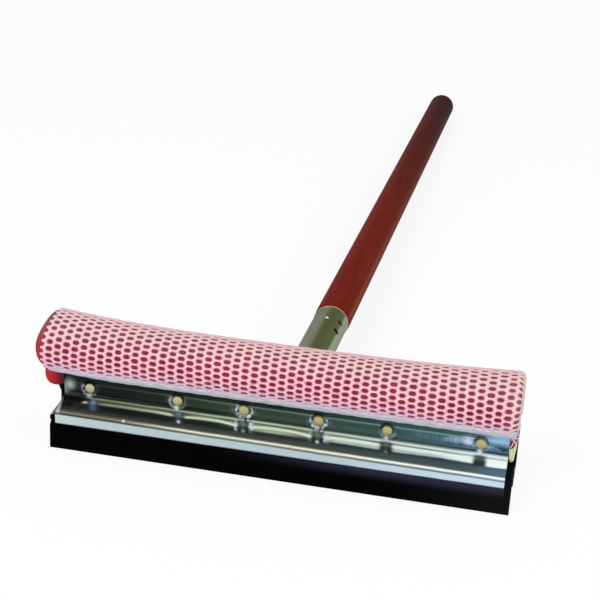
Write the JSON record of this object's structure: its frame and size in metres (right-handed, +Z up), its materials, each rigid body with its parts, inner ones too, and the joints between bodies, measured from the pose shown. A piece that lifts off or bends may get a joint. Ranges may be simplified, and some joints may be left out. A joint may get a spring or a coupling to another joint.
{
  "type": "long-handled squeegee",
  "caption": "Long-handled squeegee: a riveted metal head holds a rubber blade and a net-covered sponge roll, with a wooden handle in a metal socket.",
  "frame": {"origin": "the middle of the blade's lower edge", "axes": "+X along the head to the right as seen from the front, +Y from the head to the handle's far end, +Z up from the blade's edge through the head"},
  "size_m": [0.2693, 0.7612, 0.0821],
  "materials": {
    "plated_steel": "bright plated sheet steel",
    "socket_steel": "dull plated sheet steel",
    "rivet_brass": "pale plated, satin",
    "black_rubber": "smooth black rubber",
    "red_foam": "open-cell foam, matt",
    "net_strand": "knitted plastic yarn net, matt",
    "stained_wood": "red-brown stain under clear lacquer"
  },
  "bodies": {
    "root": {"rubber_blade": "black_rubber", "front_plate": "plated_steel", "back_plate": "plated_steel", "sponge": "red_foam", "net_sleeve": "net_strand", "rivet_1": "rivet_brass", "rivet_2": "rivet_brass", "rivet_3": "rivet_brass", "rivet_4": "rivet_brass", "rivet_5": "rivet_brass", "rivet_6": "rivet_brass", "handle_socket": "socket_steel", "socket_nail": "plated_steel", "handle": "stained_wood"}
  },
  "joints": []
}
